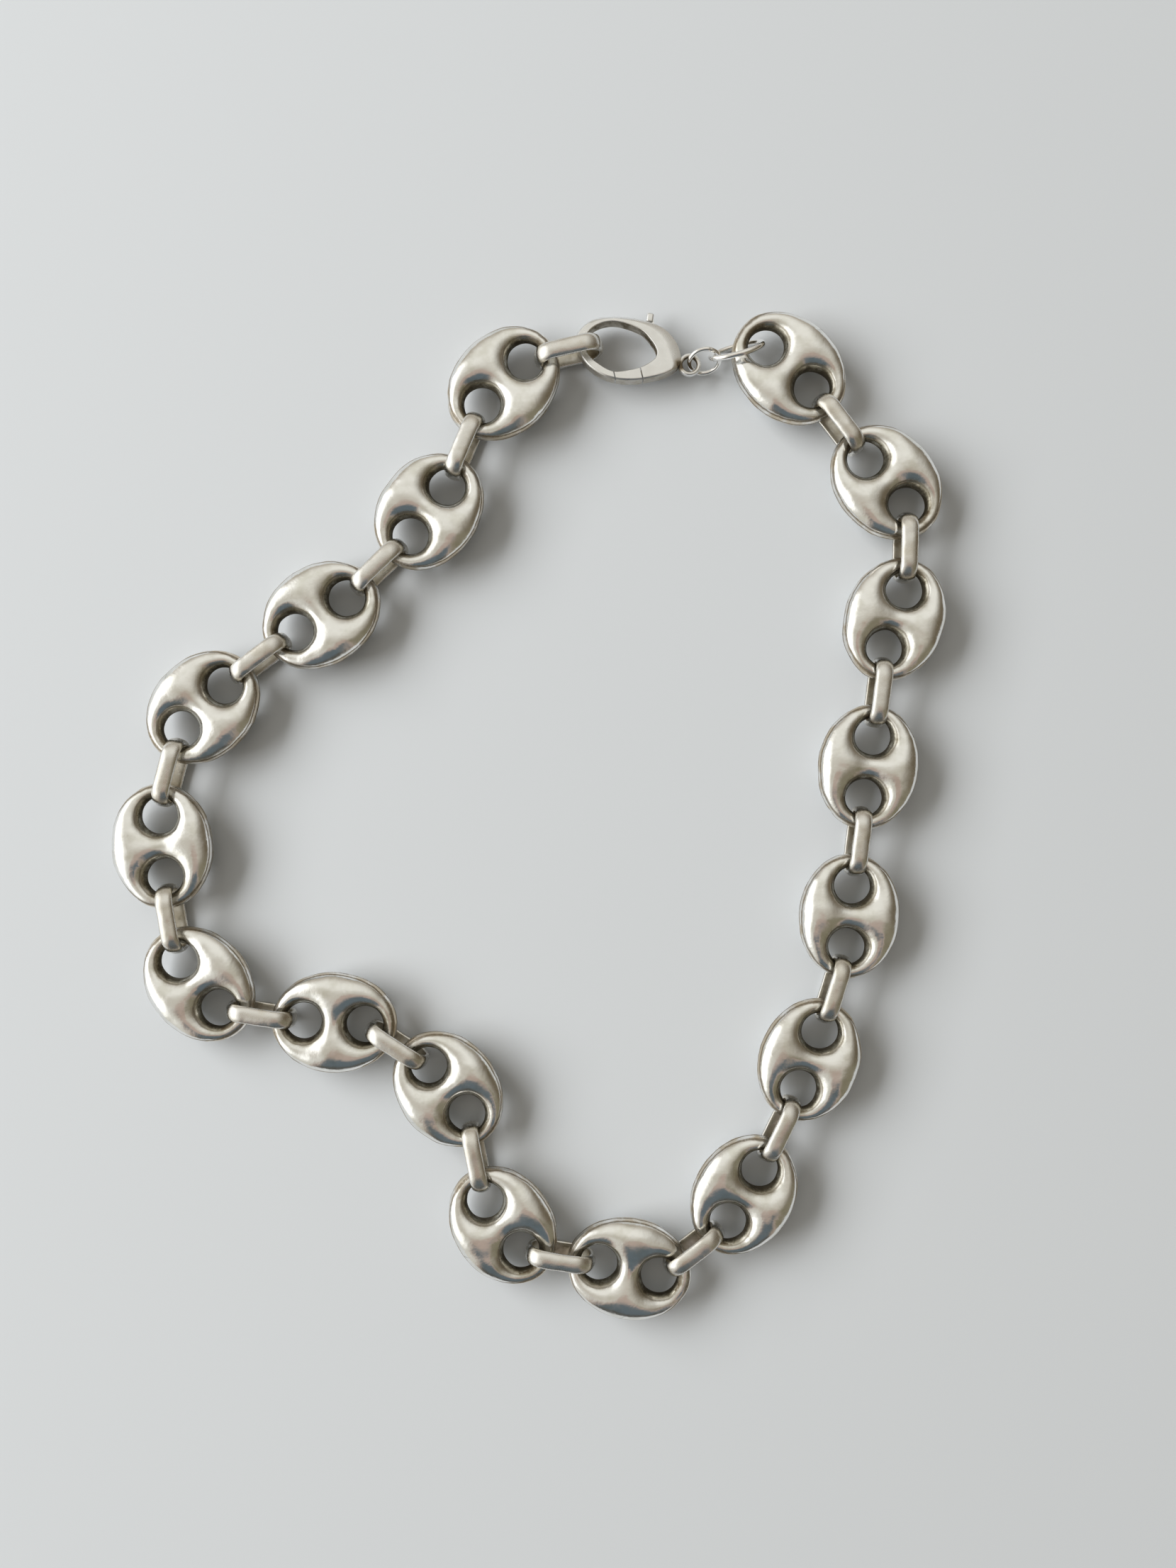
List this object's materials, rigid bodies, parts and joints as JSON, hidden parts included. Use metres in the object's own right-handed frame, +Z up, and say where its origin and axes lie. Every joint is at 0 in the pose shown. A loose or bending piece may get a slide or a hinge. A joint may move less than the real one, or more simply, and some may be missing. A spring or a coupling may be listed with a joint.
{
  "type": "puffed mariner link necklace",
  "caption": "Necklace of puffed oval links with two holes, joined by oblong half-round connectors and closed by a lobster clasp and jump rings, laid flat in a loop.",
  "frame": {"origin": "middle of the base of the necklace's bounding box, on the surface that it lies on", "axes": "+Y from the lowest link towards the clasp, along the laid-out necklace's longest extent; +Z up, across the links' thickness"},
  "size_m": [0.141, 0.1704, 0.007],
  "materials": {
    "link_silver": "polished sterling silver with soft wear and dark tarnish in the holes",
    "connector_silver": "polished sterling silver with fine scratches",
    "clasp_silver": "bright polished sterling silver",
    "ring_silver": "bright polished sterling silver wire"
  },
  "bodies": {
    "chain": {"puffed_link_01": "link_silver", "puffed_link_02": "link_silver", "puffed_link_03": "link_silver", "puffed_link_04": "link_silver", "puffed_link_05": "link_silver", "puffed_link_06": "link_silver", "puffed_link_07": "link_silver", "puffed_link_08": "link_silver", "puffed_link_09": "link_silver", "puffed_link_10": "link_silver", "puffed_link_11": "link_silver", "puffed_link_12": "link_silver", "puffed_link_13": "link_silver", "puffed_link_14": "link_silver", "puffed_link_15": "link_silver", "puffed_link_16": "link_silver", "puffed_link_17": "link_silver", "connector_00": "connector_silver", "connector_01": "connector_silver", "connector_02": "connector_silver", "connector_03": "connector_silver", "connector_04": "connector_silver", "connector_05": "connector_silver", "connector_06": "connector_silver", "connector_07": "connector_silver", "connector_08": "connector_silver", "connector_09": "connector_silver", "connector_10": "connector_silver", "connector_11": "connector_silver", "connector_12": "connector_silver", "connector_13": "connector_silver", "connector_14": "connector_silver", "connector_15": "connector_silver", "connector_16": "connector_silver", "clasp_body": "clasp_silver", "clasp_pin": "clasp_silver", "small_jump_ring": "ring_silver", "large_jump_ring": "ring_silver"},
    "gate": {"clasp_gate": "clasp_silver"}
  },
  "joints": [
    {"name": "clasp_gate_hinge", "type": "hinge", "parent": "chain", "child": "gate", "pos_m": [0.02321, 0.07806, 0.0026], "axis": [0, 0, -1], "range_deg": [0, 20], "stiffness_Nm_per_rad": 0.006}
  ]
}
